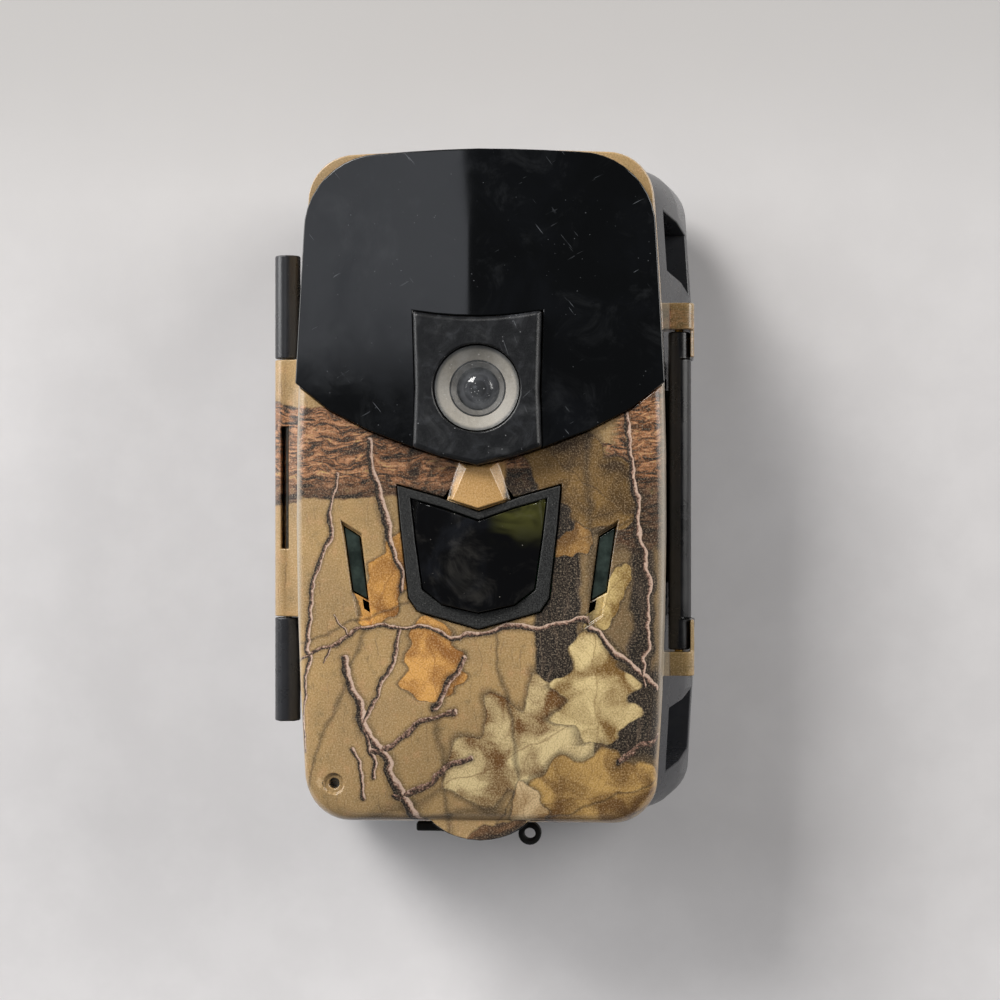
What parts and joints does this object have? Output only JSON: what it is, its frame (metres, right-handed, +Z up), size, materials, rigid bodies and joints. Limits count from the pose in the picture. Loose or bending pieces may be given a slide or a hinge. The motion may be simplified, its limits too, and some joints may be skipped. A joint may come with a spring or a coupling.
{
  "type": "trail camera",
  "caption": "Strap-on wildlife trail camera with a hinged camouflage front, toggle latch, infrared panel, lens block, motion window and a cell bay behind.",
  "frame": {"origin": "centre of the flat pad on the back that rests against the tree", "axes": "+Z up as strapped to the tree, +Y into the tree, the lens looks along -Y"},
  "size_m": [0.0977, 0.064, 0.1577],
  "materials": {
    "camouflage_abs": "film-printed woodland pattern under a clear gloss",
    "black_abs": "semi-gloss moulded",
    "tinted_acrylic": "polished, infrared-passing tint",
    "satin_black": "satin moulded, light scuffs",
    "grey_bezel": "matt warm grey",
    "clear_window": "clear polished",
    "coated_glass": "coated lens",
    "smoked_window": "smoked, polished",
    "pin_steel": "drawn",
    "nickel_contact": "nickel plated",
    "brass_insert": "turned",
    "seal_rubber": "matt moulded",
    "circuit_board": "solder-masked laminate",
    "display_glass": "dark display",
    "key_rubber": "soft-touch grey",
    "cell_sleeve": null
  },
  "bodies": {
    "back": {"back_shell": "black_abs", "rim_seal": "seal_rubber", "hinge_pin": "pin_steel", "tripod_insert": "brass_insert", "cell_1_1": "cell_sleeve", "cell_1_2": "cell_sleeve", "cell_1_3": "cell_sleeve", "cell_1_4": "cell_sleeve", "cell_2_1": "cell_sleeve", "cell_2_2": "cell_sleeve", "cell_2_3": "cell_sleeve", "cell_2_4": "cell_sleeve", "contact_1_top": "nickel_contact", "contact_1_low": "nickel_contact", "contact_2_top": "nickel_contact", "contact_2_low": "nickel_contact"},
    "door": {"front_shell": "camouflage_abs", "infrared_panel": "tinted_acrylic", "lens_block": "satin_black", "lens_window": "clear_window", "lens_bezel": "grey_bezel", "lens_barrel": "satin_black", "lens_glass": "coated_glass", "imager_board": "circuit_board", "pir_frame": "satin_black", "pir_lens": "tinted_acrylic", "pir_sensor": "nickel_contact", "side_window_left": "smoked_window", "side_window_right": "smoked_window", "status_lamp": "clear_window", "photocell": "grey_bezel", "microphone": "nickel_contact", "infrared_array": "circuit_board", "main_board": "circuit_board", "card_socket": "nickel_contact", "port_block": "satin_black", "inner_cover": "black_abs", "display": "display_glass", "screw_1": "pin_steel", "screw_2": "pin_steel", "screw_3": "pin_steel", "screw_4": "pin_steel", "latch_pin": "brass_insert"},
    "latch": {"latch_lever": "black_abs"},
    "cover": {"port_cover": "seal_rubber"},
    "up_key": {"key_up": "key_rubber"},
    "down_key": {"key_down": "key_rubber"},
    "left_key": {"key_left": "key_rubber"},
    "right_key": {"key_right": "key_rubber"},
    "enter_key": {"key_enter": "key_rubber"},
    "switch": {"mode_switch": "key_rubber"}
  },
  "joints": [
    {"name": "door_hinge", "type": "hinge", "parent": "back", "child": "door", "pos_m": [-0.0464, -0.03815, 0], "axis": [0, 0, -1], "range_deg": [0, 110]},
    {"name": "latch_pivot", "type": "hinge", "parent": "door", "child": "latch", "pos_m": [0.0445, -0.0432, 0], "axis": [0, 0, -1], "range_deg": [0, 95]},
    {"name": "port_cover_hinge", "type": "hinge", "parent": "door", "child": "cover", "pos_m": [0.0106, -0.045, -0.0791], "axis": [0, -1, 0], "range_deg": [0, 100]},
    {"name": "mode_slide", "type": "slide", "parent": "door", "child": "switch", "axis": [1, 0, 0], "range_m": [0, 0.009]},
    {"name": "up_press", "type": "slide", "parent": "door", "child": "up_key", "axis": [0, -1, 0], "range_m": [0, 0.0008], "stiffness_N_per_m": 500, "springref_m": -0.0002},
    {"name": "down_press", "type": "slide", "parent": "door", "child": "down_key", "axis": [0, -1, 0], "range_m": [0, 0.0008], "stiffness_N_per_m": 500, "springref_m": -0.0002},
    {"name": "left_press", "type": "slide", "parent": "door", "child": "left_key", "axis": [0, -1, 0], "range_m": [0, 0.0008], "stiffness_N_per_m": 500, "springref_m": -0.0002},
    {"name": "right_press", "type": "slide", "parent": "door", "child": "right_key", "axis": [0, -1, 0], "range_m": [0, 0.0008], "stiffness_N_per_m": 500, "springref_m": -0.0002},
    {"name": "enter_press", "type": "slide", "parent": "door", "child": "enter_key", "axis": [0, -1, 0], "range_m": [0, 0.0008], "stiffness_N_per_m": 500, "springref_m": -0.0002}
  ]
}
